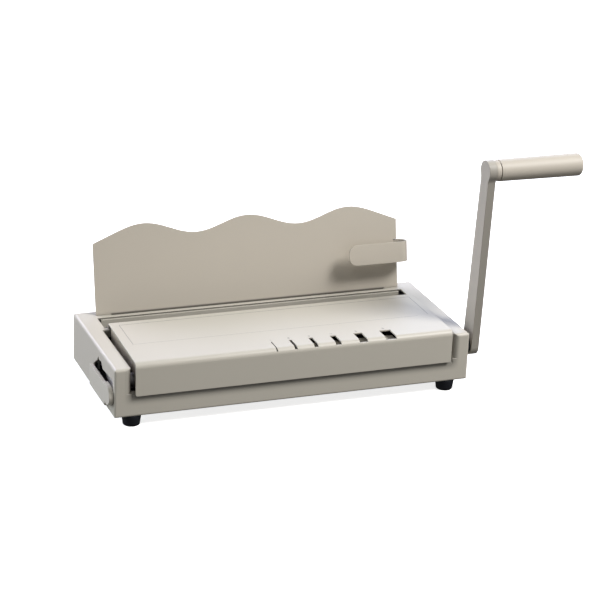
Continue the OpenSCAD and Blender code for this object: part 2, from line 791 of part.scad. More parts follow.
module spine_ledge() at_origin() color(steel_c) difference() {
  inner = frame_x - rail_w - move_gap;
  union() {
    block([-inner, ledge_y, ledge_top_z - ledge_t], [inner, beam_y, ledge_top_z]);
    block([-frame_x, rail_ys[1] + move_gap, ledge_top_z - ledge_t],
          [frame_x, beam_y, ledge_top_z]);
    block([-frame_x, beam_y - ledge_t, ledge_top_z - ledge_drop],
          [frame_x, beam_y, ledge_top_z]);
  }
  at_ledge_screws() translate([0, 0, -body_d]) cylinder(h = body_d, r = screw_small[0]);
}

module ledge_screws() at_origin() color(zinc_c) at_ledge_screws()
  screw(screw_small, beam_d);

module rail() difference() {
  block([frame_x - rail_w, rail_ys[0], floor_z + rail_zs[0]],
        [frame_x, rail_ys[1], floor_z + rail_zs[1]]);
  block([frame_x - rail_w - over, rail_ys[0] - over, push_low_z - run_fit],
        [frame_x - rail_back, rail_ys[1] + over, push_top_z + run_fit]);
  at_rail_screws() translate([0, 0, -frame_t - rail_t])
    cylinder(h = frame_t + rail_t, r = screw_small[0]);
  at_bracket_feet() mirror([0, 0, 1]) cylinder(h = 2 * sheet_t, r = screw_small[0]);
}

module jaw_rail_left() at_origin() color(dark_c) mirror([1, 0, 0]) rail();
module jaw_rail_right() at_origin() color(dark_c) rail();
module rail_screws() at_origin() color(zinc_c) at_rail_screws()
  screw(screw_small, frame_t + rail_t);

// Puts a flat piece drawn in X and height onto the leaning front face of the plate.
module on_plate() {
  translate([0, plate_y, top_z]) rotate([-plate_lean, 0, 0]) children();
}

module back_plate() at_origin() color(plate_c) difference() {
  union() {
    intersection() {
      on_plate() difference() {
        along_y(0, plate_t) union() {
          polygon(wave_points);
          translate([-wave_side, -plate_t]) square([2 * wave_side, plate_t]);
        }
        block([clip_x - clip_notch_gap, -over, clip_s - clip_notch_gap],
              [wave_side + over, plate_t + over, clip_s + clip_h + clip_notch_gap]);
      }
      block([-half_w, 0, top_z], [half_w, body_d * 2, top_z * 4]);
    }
    block([tongue_gap - slit_w / 2, plate_y, top_z - tongue_h],
          [slit_w / 2 - tongue_gap, beam_y, top_z]);
  }
  at_rear_screws() translate([0, 0, -body_d]) cylinder(h = body_d, r = screw_small[0]);
  on_plate() at_rivets() translate([0, 0, -over]) cylinder(h = plate_t + 2 * over, r = rivet[0]);
}

// Rivet axes on the plate, pointing backwards from its front face.
module at_rivets() {
  for (share = [1 / 4, 3 / 4])
    translate([clip_rear_x + (clip_x - clip_rear_x) * share, 0, clip_s + clip_h / 2])
      rotate([-90, 0, 0]) children();
}

// Leg of the clip seen from the front, rounded at its left end.
module clip_leg(x1) {
  translate([x1 + clip_end_r, clip_s]) square([clip_x - x1 - clip_end_r, clip_h]);
  translate([x1, clip_s + clip_end_r]) square([clip_end_r, clip_h - 2 * clip_end_r]);
  for (z = [clip_s + clip_end_r, clip_s + clip_h - clip_end_r])
    translate([x1 + clip_end_r, z]) circle(r = clip_end_r);
}

module side_clip() at_origin() color(plate_c) on_plate() difference() {
  back = plate_t + clip_t;
  union() {
    along_y(plate_t, back) clip_leg(clip_rear_x);
    along_y(back - 2 * clip_r, back - 2 * clip_r + clip_t) clip_leg(clip_front_x);
    intersection() {
      translate([clip_x, back - clip_r, clip_s]) difference() {
        cylinder(h = clip_h, r = clip_r);
        translate([0, 0, -over]) cylinder(h = clip_h + 2 * over, r = clip_r - clip_t);
      }
      block([clip_x, -body_d, 0], [clip_x + 2 * clip_r, body_d, top_z]);
    }
  }
  at_rivets() cylinder(h = back + over, r = rivet[0]);
}

module clip_rivets() at_origin() color(zinc_c) on_plate() at_rivets() {
  back = plate_t + clip_t;
  cylinder(h = back, r = rivet[0]);
  translate([0, 0, -rivet[2]]) cylinder(h = rivet[2], r1 = rivet[0], r2 = rivet[1]);
  translate([0, 0, back]) cylinder(h = rivet[2], r1 = rivet[1], r2 = rivet[0]);
}

module at_runner_screws() {
  for (share = [1 / 4, 3 / 4])
    translate([runner_xs[0] + (runner_xs[1] - runner_xs[0]) * share,
               runner_in[1] + runner_t + screw_small[1] + over, deck_z + runner_t]) children();
}

module drawer_runner() at_origin() color(steel_c) difference() {
  out = [runner_in[0] - runner_t, runner_in[1] + runner_t];
  union() {
    block([runner_xs[0], out[0], deck_z], [runner_xs[1], out[1], deck_z + runner_h]);
    at_runner_screws() translate([0, -screw_small[1], -runner_t])
      block([-2 * screw_small[1], -2 * over, 0], [2 * screw_small[1], 3 * screw_small[1], runner_t]);
  }
  block([runner_xs[0] - over, runner_in[0], deck_z + runner_t],
        [runner_xs[1] + over, runner_in[1], deck_z + runner_h + over]);
  at_runner_screws() translate([0, 0, -deck_z]) cylinder(h = 2 * deck_z, r = screw_small[0]);
}

module runner_screws() at_origin() color(zinc_c) at_runner_screws()
  screw(screw_small, runner_t + sheet_t);

module push_plate() at_origin() color(steel_c) difference() {
  block([-push_x, push_y, push_low_z], [push_x, jaw_face_y, push_top_z]);
  both_sides() translate([push_window_x, push_window_y, push_low_z - over])
    translate([-push_window_w / 2, -push_window_l / 2, 0])
      cube([push_window_w, push_window_l, push_t + 2 * over]);
  at_jaw_screws() translate([0, 0, -top_z]) cylinder(h = top_z, r = screw_small[0]);
  at_follower_screws() translate([0, 0, -top_z]) cylinder(h = top_z, r = screw_medium[0]);
}

module at_follower_screws() {
  both_sides() translate([cam_x, follower_y + follower_size[1] * 5 / 8, push_top_z]) children();
}

module follower_blocks() at_origin() color(dark_c) difference() {
  both_sides() block([cam_x - follower_size[0] / 2, follower_y, push_low_z - follower_h],
                     [cam_x + follower_size[0] / 2, follower_y + follower_size[1], push_low_z]);
  at_follower_screws() translate([0, 0, -push_t - follower_h / 2])
    cylinder(h = push_t + follower_h, r = screw_medium[0]);
}

module follower_screws() at_origin() color(zinc_c) at_follower_screws()
  screw(screw_medium, push_t + follower_h / 2);

module at_jaw_screws() {
  for (share = screw_share_row)
    translate([share * jaw_x, jaw_face_y - jaw_d / 2, jaw_top_z - screw_small[2] * 3 / 2])
      children();
}

module moving_jaw() at_origin() color(dark_c) difference() {
  block([-jaw_x, jaw_face_y - jaw_d, push_top_z], [jaw_x, jaw_face_y, jaw_top_z]);
  at_jaw_screws() {
    cylinder(h = top_z, r = screw_small[1] + run_fit);
    translate([0, 0, -top_z]) cylinder(h = top_z, r = screw_small[0]);
  }
}

module jaw_screws() at_origin() color(zinc_c) at_jaw_screws()
  screw(screw_small, jaw_top_z - screw_small[2] * 3 / 2 - push_low_z);

module main_shaft() at_origin() color(steel_c) difference() {
  bar_x(-frame_out - ring_size[0] - over, shaft_end, shaft_y, axis_z, shaft_r);
  bar_x(half_w - over, shaft_end + over, shaft_y, axis_z, screw_lever[0]);
  at_cam_pins() cylinder(h = cam_hub_h, r = screw_small[0]);
}

// Pin axes from the shaft axis upwards through the cams.
module at_cam_pins() {
  both_sides() translate([cam_x, shaft_y, axis_z]) children();
}

module cam() difference() {
  along_x(cam_x - cam_t / 2, cam_x + cam_t / 2) translate([shaft_y, axis_z])
    polygon(cam_points);
  bar_x(cam_x - cam_t, cam_x + cam_t, shaft_y, axis_z, shaft_r);
  at_cam_pins() cylinder(h = 2 * cam_r, r = screw_small[0]);
}

module cam_left() at_origin() color(dark_c) mirror([1, 0, 0]) cam();
module cam_right() at_origin() color(dark_c) cam();
module cam_pins() at_origin() color(zinc_c) at_cam_pins()
  cylinder(h = cam_hub_h, r = screw_small[0]);

module shaft_rings() at_origin() color(zinc_c) both_sides() difference() {
  near = frame_out + move_gap;
  bar_x(near, near + ring_size[0], shaft_y, axis_z, shaft_r + ring_size[1]);
  bar_x(near - over, near + ring_size[0] + over, shaft_y, axis_z, shaft_r);
}

module lever_hub() at_origin() color(steel_c) difference() {
  bar_x(half_w + hub_gap, arm_in, shaft_y, axis_z, hub_r);
  bar_x(half_w, arm_in + over, shaft_y, axis_z, shaft_r);
}

// Outline of the arm from its shaft axis up to its head, before it leans forward.
module arm_outline() {
  fillet_x = arm_neck + arm_fillet_r;
  fillet_z = arm_l - sqrt(pow(arm_head_r + arm_fillet_r, 2) - pow(fillet_x, 2));
  share = arm_head_r / (arm_head_r + arm_fillet_r);
  touch = [fillet_x * share, arm_l + (fillet_z - arm_l) * share];
  circle(r = arm_low_r);
  translate([0, arm_l]) circle(r = arm_head_r);
  polygon([[arm_low_r, 0], [arm_neck, fillet_z], [-arm_neck, fillet_z], [-arm_low_r, 0]]);
  difference() {
    polygon([[arm_neck, fillet_z], touch, [0, arm_l], [-touch[0], touch[1]],
             [-arm_neck, fillet_z]]);
    for (x = [-fillet_x, fillet_x]) translate([x, fillet_z]) circle(r = arm_fillet_r);
  }
}

module lever_arm() at_origin() color(paint_c) difference() {
  translate([0, shaft_y, axis_z]) rotate([arm_lean, 0, 0]) along_x(arm_in, arm_out)
    arm_outline();
  bar_x(arm_in - over, shaft_end, shaft_y, axis_z, shaft_r);
  bar_x(arm_in - over, arm_out + over, shaft_y, axis_z, screw_lever[0]);
  bar_x(arm_web, arm_out + over, shaft_y, axis_z, screw_lever[1] + run_fit);
  bar_x(arm_in + sheet_t, arm_out + over, grip_y, grip_z, spindle_r);
}

module lever_screw() at_origin() color(zinc_c)
  translate([arm_web, shaft_y, axis_z]) rotate([0, 90, 0])
    screw(screw_lever, arm_web - half_w + over);

module grip_collar() at_origin() color(paint_c) difference() {
  bar_x(arm_out, arm_out + collar_l, grip_y, grip_z, collar_r);
  bar_x(arm_in, grip_x, grip_y, grip_z, spindle_r);
}

module grip_spindle() at_origin() color(steel_c) difference() {
  bar_x(arm_in + sheet_t, shoulder_x + move_gap, grip_y, grip_z, spindle_r);
  bar_x(shoulder_x - 2 * washer_r, shoulder_x + over, grip_y, grip_z, screw_small[0]);
}

// Washer-head screw that keeps the sleeve on the spindle.
module grip_screw() at_origin() color(zinc_c) {
  seat = shoulder_x + move_gap;
  bar_x(seat - 2 * washer_r, seat, grip_y, grip_z, screw_small[0]);
  bar_x(seat, seat + screw_small[2], grip_y, grip_z, washer_r);
  bar_x(seat + screw_small[2], seat + 2 * screw_small[2], grip_y, grip_z, screw_small[1]);
}

module grip_sleeve() at_origin() color(grip_c) difference() {
  translate([grip_x, grip_y, grip_z]) rotate([0, 90, 0])
    cylinder(h = grip_l, r1 = grip_r, r2 = grip_end_r);
  bar_x(grip_x - over, cap_x + over, grip_y, grip_z, spindle_r + run_fit);
  bar_x(shoulder_x, cap_x + over, grip_y, grip_z, washer_r + move_gap);
}

module grip_cap() at_origin() color(grip_c) translate([cap_x, grip_y, grip_z]) rotate([0, 90, 0]) {
  rotate_extrude() {
    square([grip_end_r - cap_r, cap_l]);
    square([grip_end_r, cap_l - cap_r]);
    intersection() {
      translate([grip_end_r - cap_r, cap_l - cap_r]) circle(r = cap_r);
      square([grip_end_r, cap_l]);
    }
  }
  translate([0, 0, -sheet_t]) cylinder(h = sheet_t, r = washer_r + move_gap);
}

// Wall end of the tray, with the screws that hold the tab, along X from the tab.
module at_tab_screws() {
  for (share = [1 / 4, 3 / 4])
    translate([-tab_x, tray_ys[0] + (tray_ys[1] - tray_ys[0]) * share,
               floor_z + (tray_zs[0] + tray_zs[1]) / 2]) rotate([0, 90, 0]) children();
}

module drawer_tray() at_origin() color(steel_c) difference() {
  block([-tab_x, tray_ys[0], floor_z + tray_zs[0]],
        [tray_x, tray_ys[1], floor_z + tray_zs[1]]);
  block([3 * tray_t - tab_x, tray_ys[0] + tray_t, floor_z + tray_zs[0] + tray_t],
        [tray_x - tray_t, tray_ys[1] - tray_t, floor_z + tray_zs[1] + over]);
  at_tab_screws() translate([0, 0, -over]) cylinder(h = 3 * tray_t + 2 * over, r = screw_small[0]);
}

module pull_tab() at_origin() color(paint_c) difference() {
  union() {
    block([-tab_x - tab_t, tab_ys[0], floor_z + tab_zs[0]],
          [-tab_x, tab_ys[1], floor_z + tab_zs[1]]);
    along_x(-tab_x - finger_t, -tab_x) intersection() {
      translate([0, floor_z]) {
        translate([finger_y, finger_z]) circle(r = finger_r);
        translate([finger_y, finger_z - finger_r])
          square([tab_ys[0] - finger_y, 2 * finger_r]);
      }
      square([tab_ys[0], top_z]);
    }
  }
  at_tab_screws() translate([0, 0, -over - screw_small[0]])
    cylinder(h = over + 2 * screw_small[0], r = screw_small[0]);
}

// Screws from inside the tray into the tab.
module tab_screws() at_origin() color(zinc_c) at_tab_screws()
  translate([0, 0, 3 * tray_t]) screw(screw_small, 3 * tray_t + screw_small[0]);

housing();
base_plate();
feet();
foot_screws();
top_cover();
gauge_stop();
cover_studs();
cover_bracket_left();
cover_bracket_right();
bracket_screws();
side_frame_left();
side_frame_right();
frame_screws();
shaft_bushes();
rear_beam();
beam_screws();
fixed_jaw();
rear_screws();
spine_ledge();
ledge_screws();
jaw_rail_left();
jaw_rail_right();
rail_screws();
back_plate();
side_clip();
clip_rivets();
drawer_runner();
runner_screws();
push_plate();
follower_blocks();
follower_screws();
moving_jaw();
jaw_screws();
main_shaft();
cam_left();
cam_right();
cam_pins();
shaft_rings();
lever_hub();
lever_arm();
lever_screw();
grip_collar();
grip_spindle();
grip_screw();
grip_sleeve();
grip_cap();
drawer_tray();
pull_tab();
tab_screws();
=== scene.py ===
import json
import math

import bpy
import numpy as np
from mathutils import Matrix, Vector


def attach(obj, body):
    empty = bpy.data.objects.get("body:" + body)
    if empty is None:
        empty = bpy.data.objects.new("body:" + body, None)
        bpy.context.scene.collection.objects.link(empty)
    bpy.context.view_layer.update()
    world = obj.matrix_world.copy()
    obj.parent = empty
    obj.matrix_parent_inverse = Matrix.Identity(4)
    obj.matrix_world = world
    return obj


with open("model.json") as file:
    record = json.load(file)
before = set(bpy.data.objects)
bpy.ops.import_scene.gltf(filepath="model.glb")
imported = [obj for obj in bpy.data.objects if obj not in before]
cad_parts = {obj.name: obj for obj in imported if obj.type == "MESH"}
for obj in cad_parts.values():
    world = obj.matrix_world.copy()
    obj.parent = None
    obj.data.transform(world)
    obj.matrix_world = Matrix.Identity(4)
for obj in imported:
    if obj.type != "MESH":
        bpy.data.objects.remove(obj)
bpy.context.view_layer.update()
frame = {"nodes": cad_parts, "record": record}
nodes = frame["nodes"]

# The CAD is drawn from the middle of the housing front; this is the middle of the whole part
# from there, in millimetres.
partMid = {"x": 54.8, "y": 80.3441}


def place(points):
    # millimetres from the middle of the housing front to metres in the part frame
    p = np.asarray(points, float).reshape(-1, 3)
    return (p - [partMid["x"], partMid["y"], 0.0]) / 1000.0


def newObject(name, points, faces):
    # mesh object with flat faces, its points in metres in the part frame
    mesh = bpy.data.meshes.new(name)
    mesh.from_pydata(np.asarray(points).tolist(), [], faces)
    mesh.validate()
    obj = bpy.data.objects.new(name, mesh)
    bpy.context.scene.collection.objects.link(obj)
    return obj


# Camera, matched to the photograph.
print("stage: camera")
cameraSet = {"at": (-0.76935, -1.90203, 0.87582), "turn": (68.8278, -2.3558, -20.5035),
             "lens": 126.797, "sensor": 36.0}
cameraData = bpy.data.cameras.new("camera")
cameraData.lens = cameraSet["lens"]
cameraData.sensor_width = cameraSet["sensor"]
cameraData.clip_start, cameraData.clip_end = 0.05, 50.0
camera = bpy.data.objects.new("camera", cameraData)
camera.location = cameraSet["at"]
camera.rotation_euler = [math.radians(a) for a in cameraSet["turn"]]
bpy.context.scene.collection.objects.link(camera)
bpy.context.scene.camera = camera


# Shader node groups shared by the materials.
print("stage: node groups")


def newGroup(name, inputs, outputs):
    group = bpy.data.node_groups.new(name, "ShaderNodeTree")
    for label, kind, value in inputs:
        socket = group.interface.new_socket(label, in_out="INPUT", socket_type=kind)
        if value is not None:
            socket.default_value = value
    for label, kind in outputs:
        group.interface.new_socket(label, in_out="OUTPUT", socket_type=kind)
    return group, group.nodes.new("NodeGroupInput"), group.nodes.new("NodeGroupOutput")


def addNode(tree, kind, values=None, **settings):
    node = tree.nodes.new(kind)
    for key, value in settings.items():
        setattr(node, key, value)
    for key, value in (values or {}).items():
        node.inputs[key].default_value = value
    return node


def link(tree, a, outName, b, inName):
    tree.links.new(a.outputs[outName], b.inputs[inName])


def makeEdgeGroup():
    # rounded normal of the hard edges, and a mask that is 1 on them
    group, ins, outs = newGroup(
        "edgeRound", [("Radius", "NodeSocketFloat", 0.0005)],
        [("Normal", "NodeSocketVector"), ("Mask", "NodeSocketFloat")])
    bevel = addNode(group, "ShaderNodeBevel", samples=6)
    geometry = addNode(group, "ShaderNodeNewGeometry")
    dot = addNode(group, "ShaderNodeVectorMath", operation="DOT_PRODUCT")
    ramp = addNode(group, "ShaderNodeMapRange",
                   {"From Min": 0.995, "From Max": 0.80, "To Min": 0.0, "To Max": 1.0})
    link(group, ins, "Radius", bevel, "Radius")
    link(group, bevel, "Normal", dot, 0)
    link(group, geometry, "Normal", dot, 1)
    link(group, dot, "Value", ramp, "Value")
    link(group, bevel, "Normal", outs, "Normal")
    link(group, ramp, "Result", outs, "Mask")
    return group


def makeGrainGroup():
    # height of a fine powder-coat texture, and a slow stain that varies over the whole part
    group, ins, outs = newGroup(
        "grain", [("Scale", "NodeSocketFloat", 900.0), ("Slow", "NodeSocketFloat", 9.0)],
        [("Height", "NodeSocketFloat"), ("Stain", "NodeSocketFloat")])
    coords = addNode(group, "ShaderNodeTexCoord")
    fine = addNode(group, "ShaderNodeTexNoise", {"Detail": 3.0, "Roughness": 0.55})
    slow = addNode(group, "ShaderNodeTexNoise", {"Detail": 4.0, "Roughness": 0.6})
    link(group, coords, "Object", fine, "Vector")
    link(group, coords, "Object", slow, "Vector")
    link(group, ins, "Scale", fine, "Scale")
    link(group, ins, "Slow", slow, "Scale")
    link(group, fine, "Fac", outs, "Height")
    link(group, slow, "Fac", outs, "Stain")
    return group


def makeDustGroup():
    # mask of a thin dust film on faces that look up, broken up by noise
    group, ins, outs = newGroup(
        "dust", [("Amount", "NodeSocketFloat", 0.1)], [("Mask", "NodeSocketFloat")])
    geometry = addNode(group, "ShaderNodeNewGeometry")
    split = addNode(group, "ShaderNodeSeparateXYZ")
    up = addNode(group, "ShaderNodeMapRange",
                 {"From Min": 0.55, "From Max": 1.0, "To Min": 0.0, "To Max": 1.0})
    coords = addNode(group, "ShaderNodeTexCoord")
    noise = addNode(group, "ShaderNodeTexNoise",
                    {"Scale": 38.0, "Detail": 6.0, "Roughness": 0.7})
    patch = addNode(group, "ShaderNodeMapRange",
                    {"From Min": 0.35, "From Max": 0.75, "To Min": 0.2, "To Max": 1.0})
    both = addNode(group, "ShaderNodeMath", operation="MULTIPLY")
    amount = addNode(group, "ShaderNodeMath", operation="MULTIPLY")
    link(group, geometry, "Normal", split, "Vector")
    link(group, split, "Z", up, "Value")
    link(group, coords, "Object", noise, "Vector")
    link(group, noise, "Fac", patch, "Value")
    link(group, up, "Result", both, 0)
    link(group, patch, "Result", both, 1)
    link(group, both, "Value", amount, 0)
    link(group, ins, "Amount", amount, 1)
    link(group, amount, "Value", outs, "Mask")
    return group


creviceSet = {"open": 0.92, "closed": 0.30,   # share of open sky where the mask is 0 and 1
              "leftFacing": (-0.85, -0.25),   # X of the normal where a face counts as left-facing
              "rightHalf": (0.08, 0.10)}      # X in metres where the right half starts


def makeCreviceGroup():
    # painted shade: mask that is 1 deep in narrow gaps and corners, where little light reaches;
    # on the right half of the part, faces that look to the left keep none of it
    s = creviceSet
    group, ins, outs = newGroup(
        "crevice", [("Distance", "NodeSocketFloat", 0.004)], [("Mask", "NodeSocketFloat")])
    hidden = addNode(group, "ShaderNodeAmbientOcclusion", samples=6)
    ramp = addNode(group, "ShaderNodeMapRange",
                   {"From Min": s["closed"], "From Max": s["open"], "To Min": 1.0, "To Max": 0.0})
    coords = addNode(group, "ShaderNodeTexCoord")
    facing = addNode(group, "ShaderNodeSeparateXYZ")
    spot = addNode(group, "ShaderNodeSeparateXYZ")
    left = addNode(group, "ShaderNodeMapRange",
                   {"From Min": s["leftFacing"][0], "From Max": s["leftFacing"][1],
                    "To Min": 1.0, "To Max": 0.0})
    right = addNode(group, "ShaderNodeMapRange",
                    {"From Min": s["rightHalf"][0], "From Max": s["rightHalf"][1],
                     "To Min": 0.0, "To Max": 1.0})
    unshaded = addNode(group, "ShaderNodeMath", operation="MULTIPLY")
    rest = addNode(group, "ShaderNodeMath", {0: 1.0}, operation="SUBTRACT")
    both = addNode(group, "ShaderNodeMath", operation="MULTIPLY")
    link(group, ins, "Distance", hidden, "Distance")
    link(group, hidden, "AO", ramp, "Value")
    link(group, coords, "Normal", facing, "Vector")
    link(group, coords, "Object", spot, "Vector")
    link(group, facing, "X", left, "Value")
    link(group, spot, "X", right, "Value")
    link(group, left, "Result", unshaded, 0)
    link(group, right, "Result", unshaded, 1)
    link(group, unshaded, "Value", rest, 1)
    link(group, ramp, "Result", both, 0)
    link(group, rest, "Value", both, 1)
    link(group, both, "Value", outs, "Mask")
    return group


edgeGroup, grainGroup = makeEdgeGroup(), makeGrainGroup()
dustGroup, creviceGroup = makeDustGroup(), makeCreviceGroup()


def newMaterial(name):
    material = bpy.data.materials.new(name)
    material.use_nodes = True
    tree = material.node_tree
    tree.nodes.clear()
    shader = addNode(tree, "ShaderNodeBsdfPrincipled")
    out = addNode(tree, "ShaderNodeOutputMaterial")
    link(tree, shader, "BSDF", out, "Surface")
    return material, tree, shader


def useGroup(tree, group, values=None):
    node = tree.nodes.new("ShaderNodeGroup")
    node.node_tree = group
    for key, value in (values or {}).items():
        node.inputs[key].default_value = value
    return node


def mixColor(tree, factor, first, second):
    mix = addNode(tree, "ShaderNodeMix", data_type="RGBA")
    for index, value in ((6, first), (7, second)):
        if isinstance(value, (tuple, list)):
            mix.inputs[index].default_value = (*value[:3], 1.0)
        else:
            tree.links.new(value, mix.inputs[index])
    tree.links.new(factor, mix.inputs[0])
    return mix.outputs[2]


def scaled(tree, value, gain):
    node = addNode(tree, "ShaderNodeMath", operation="MULTIPLY")
    tree.links.new(value, node.inputs[0])
    node.inputs[1].default_value = gain
    return node.outputs[0]


def heightBand(tree, band):
    # mask that rises from 0 to its amount between two heights, on faces that look to the front and
    # lie within a reach of the housing's middle, past which it fades out
    coords = addNode(tree, "ShaderNodeTexCoord")
    split = addNode(tree, "ShaderNodeSeparateXYZ")
    rise = addNode(tree, "ShaderNodeMapRange",
                   {"From Min": band["low"], "From Max": band["high"], "To Min": 0.0,
                    "To Max": band["amount"]}, interpolation_type="SMOOTHSTEP")
    facing = addNode(tree, "ShaderNodeSeparateXYZ")
    front = addNode(tree, "ShaderNodeMapRange",
                    {"From Min": -0.9, "From Max": -0.4, "To Min": 1.0, "To Max": 0.0})
    inner = addNode(tree, "ShaderNodeMapRange",
                    {"From Min": band["reach"] ** 2, "From Max": (band["reach"] + band["fade"]) ** 2,
                     "To Min": 1.0, "To Max": 0.0})
    offset = addNode(tree, "ShaderNodeMath", {1: partMid["x"] / 1000.0}, operation="ADD")
    square = addNode(tree, "ShaderNodeMath", operation="MULTIPLY")
    both = addNode(tree, "ShaderNodeMath", operation="MULTIPLY")
    every = addNode(tree, "ShaderNodeMath", operation="MULTIPLY")
    link(tree, coords, "Object", split, "Vector")
    link(tree, split, "Z", rise, "Value")
    link(tree, coords, "Normal", facing, "Vector")
    link(tree, facing, "Y", front, "Value")
    link(tree, split, "X", offset, 0)
    link(tree, offset, "Value", square, 0)
    link(tree, offset, "Value", square, 1)
    link(tree, square, "Value", inner, "Value")
    link(tree, rise, "Result", both, 0)
    link(tree, front, "Result", both, 1)
    link(tree, both, "Value", every, 0)
    link(tree, inner, "Result", every, 1)
    return every.outputs[0]


def coatedMaterial(name, color, stain, edge, s):
    # one painted or moulded finish: base colour, slow stain, lighter edges, dust, painted corner
    # shade, painted shadow bands, fine bump
    material, tree, shader = newMaterial(name)
    shader.inputs["Roughness"].default_value = s["roughness"]
    shader.inputs["IOR"].default_value = s.get("ior", 1.5)
    shader.inputs["Specular IOR Level"].default_value = s.get("specular", 0.5)
    shader.inputs["Coat Weight"].default_value = s.get("coat", 0.0)
    shader.inputs["Coat Roughness"].default_value = s.get("coatRoughness", 0.3)
    grain = useGroup(tree, grainGroup, {"Scale": s["grainScale"], "Slow": s.get("slow", 9.0)})
    edges = useGroup(tree, edgeGroup, {"Radius": s["edgeRadius"]})
    dust = useGroup(tree, dustGroup, {"Amount": s.get("dust", 0.05)})
    base = mixColor(tree, grain.outputs["Stain"], color, stain)
    base = mixColor(tree, scaled(tree, edges.outputs["Mask"], s.get("wear", 0.15)), base, edge)
    base = mixColor(tree, dust.outputs["Mask"], base, s.get("dustColor", (0.62, 0.60, 0.56)))
    # painted shade: the base colour is pulled towards a dim copy of itself in gaps and corners
    shadeMask = useGroup(tree, creviceGroup, {"Distance": s.get("crevice", 0.011)})
    soot = tuple(c * s.get("soot", 0.25) for c in color)
    base = mixColor(tree, scaled(tree, shadeMask.outputs["Mask"], s.get("shadeAmount", 0.9)), base, soot)
    # painted shadow band, such as under the front flange, at the plate's foot and on the arm's front
    # faces
    if "band" in s:
        base = mixColor(tree, heightBand(tree, s["band"]), base, soot)
    tree.links.new(base, shader.inputs["Base Color"])
    bump = addNode(tree, "ShaderNodeBump",
                   {"Strength": s["bump"], "Distance": s.get("bumpDepth", 0.00012)})
    tree.links.new(grain.outputs["Height"], bump.inputs["Height"])
    tree.links.new(edges.outputs["Normal"], bump.inputs["Normal"])
    tree.links.new(bump.outputs["Normal"], shader.inputs["Normal"])
    return material


def metalMaterial(name, color, s):
    # bare metal: grinding lines along X, brighter worn edges, patchy oil film in the roughness
    material, tree, shader = newMaterial(name)
    shader.inputs["Metallic"].default_value = 1.0
    coords = addNode(tree, "ShaderNodeTexCoord")
    stretch = addNode(tree, "ShaderNodeMapping", {"Scale": s["lines"]})
    lines = addNode(tree, "ShaderNodeTexNoise", {"Scale": 1.0, "Detail": 4.0, "Roughness": 0.6})
    tree.links.new(coords.outputs["Object"], stretch.inputs["Vector"])
    tree.links.new(stretch.outputs["Vector"], lines.inputs["Vector"])
    grain = useGroup(tree, grainGroup, {"Scale": s["grainScale"], "Slow": 22.0})
    edges = useGroup(tree, edgeGroup, {"Radius": s["edgeRadius"]})
    tone = tuple(c * s.get("shade", 0.8) for c in color)
    base = mixColor(tree, lines.outputs["Fac"], tone, color)
    bright = tuple(min(1.0, c * 1.35) for c in color)
    base = mixColor(tree, scaled(tree, edges.outputs["Mask"], s.get("wear", 0.5)), base, bright)
    tree.links.new(base, shader.inputs["Base Color"])
    rough = addNode(tree, "ShaderNodeMapRange",
                    {"From Min": 0.3, "From Max": 0.7, "To Min": s["roughLow"],
                     "To Max": s["roughHigh"]})
    tree.links.new(grain.outputs["Stain"], rough.inputs["Value"])
    tree.links.new(rough.outputs["Result"], shader.inputs["Roughness"])
    bump = addNode(tree, "ShaderNodeBump", {"Strength": s.get("bump", 0.15),
                                            "Distance": 0.00005})
    tree.links.new(lines.outputs["Fac"], bump.inputs["Height"])
    tree.links.new(edges.outputs["Normal"], bump.inputs["Normal"])
    tree.links.new(bump.outputs["Normal"], shader.inputs["Normal"])
    return material


print("stage: materials")
paintSet = {"roughness": 0.42, "grainScale": 1300.0, "edgeRadius": 0.0006, "bump": 0.22,
            "wear": 0.06, "dust": 0.06, "coat": 0.05, "coatRoughness": 0.4}
paintTones = ((0.600, 0.564, 0.480), (0.570, 0.534, 0.455), (0.72, 0.68, 0.60))
paint = coatedMaterial("paintBeige", *paintTones, paintSet)
flangeShade = {"low": 0.0225, "high": 0.0345, "amount": 0.78, "reach": 0.171, "fade": 0.009}
shellPaint = coatedMaterial("paintShell", *paintTones,
                            {**paintSet, "edgeRadius": 0.0010, "band": flangeShade})
# painted shade: the side webs seen in the gap beside the cover get a darker copy of the beige paint
shadedBracketPaint = coatedMaterial("paintBracketShaded", (0.560, 0.500, 0.385), (0.540, 0.480, 0.370),
                              (0.60, 0.54, 0.43), paintSet)
armShade = {"low": -2.0, "high": -1.9, "amount": 0.26, "reach": 2.0, "fade": 1.0}
armPaint = coatedMaterial("paintArm", (0.455, 0.423, 0.362), (0.436, 0.405, 0.345),
                          (0.56, 0.53, 0.46),
                          {**paintSet, "roughness": 0.55, "band": armShade})
# painted light: the pull tab gets a lighter copy of the beige paint with little corner shade, for
# its brighter lit rim
litTabPaint = coatedMaterial("paintTabLit", (0.640, 0.605, 0.515), (0.620, 0.585, 0.500),
                          (0.76, 0.73, 0.65), {**paintSet, "shadeAmount": 0.15})
# painted light: the gauge stop is drawn near-white for the light that falls through the gauge slots
# onto it
litStopPaint = coatedMaterial("paintStopLit", (0.88, 0.84, 0.75), (0.86, 0.82, 0.73),
                           (0.90, 0.86, 0.78), {**paintSet, "shadeAmount": 0.0})
footShade = {"low": 0.0653, "high": 0.0641, "amount": 0.92, "reach": 0.1525, "fade": 0.002}
plateSet = {"roughness": 0.45, "grainScale": 1300.0, "edgeRadius": 0.0005, "bump": 0.22,
            "wear": 0.10, "dust": 0.03, "coat": 0.08, "coatRoughness": 0.35,
            "crevice": 0.004, "band": footShade}
platePaint = coatedMaterial("paintPlate", (0.553, 0.505, 0.424), (0.533, 0.485, 0.404),
                            (0.66, 0.60, 0.51), plateSet)
primerSet = {"roughness": 0.6, "grainScale": 1100.0, "edgeRadius": 0.0004, "bump": 0.3,
             "wear": 0.25, "dust": 0.12, "slow": 24.0, "shadeAmount": 0.2}
